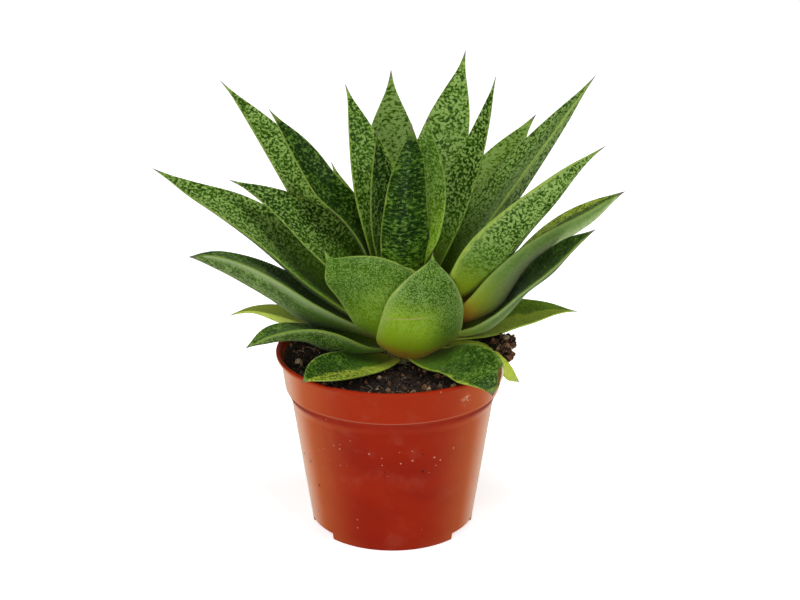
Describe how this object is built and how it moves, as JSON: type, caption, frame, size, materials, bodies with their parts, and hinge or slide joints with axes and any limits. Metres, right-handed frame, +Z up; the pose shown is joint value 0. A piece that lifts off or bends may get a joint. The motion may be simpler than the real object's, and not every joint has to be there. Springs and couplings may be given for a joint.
{
  "type": "potted gasteria",
  "caption": "Gasteria houseplant: a rosette of thick pointed leaves, dark green with pale speckles, in a round terracotta-coloured plastic nursery pot full of soil.",
  "frame": {"origin": "centre of the pot's underside, in the plane that the pot stands on", "axes": "+Z up along the pot's axis; -Y towards the picture's viewer; +X to the picture's right"},
  "size_m": [0.2111, 0.1419, 0.207],
  "materials": {
    "pot_plastic": "satin",
    "soil": "matte",
    "crown": "matte",
    "leaf": "satin"
  },
  "bodies": {
    "root": {"pot": "pot_plastic", "soil": "soil", "crown": "crown", "leaf_01": "leaf", "leaf_02": "leaf", "leaf_03": "leaf", "leaf_04": "leaf", "leaf_05": "leaf", "leaf_06": "leaf", "leaf_07": "leaf", "leaf_08": "leaf", "leaf_09": "leaf", "leaf_10": "leaf", "leaf_11": "leaf", "leaf_12": "leaf", "leaf_13": "leaf", "leaf_14": "leaf", "leaf_15": "leaf", "leaf_16": "leaf", "leaf_17": "leaf", "leaf_18": "leaf", "leaf_19": "leaf", "leaf_20": "leaf", "leaf_21": "leaf", "leaf_22": "leaf", "leaf_23": "leaf", "leaf_24": "leaf", "leaf_25": "leaf", "leaf_26": "leaf", "leaf_27": "leaf", "leaf_28": "leaf", "leaf_29": "leaf"}
  },
  "joints": []
}
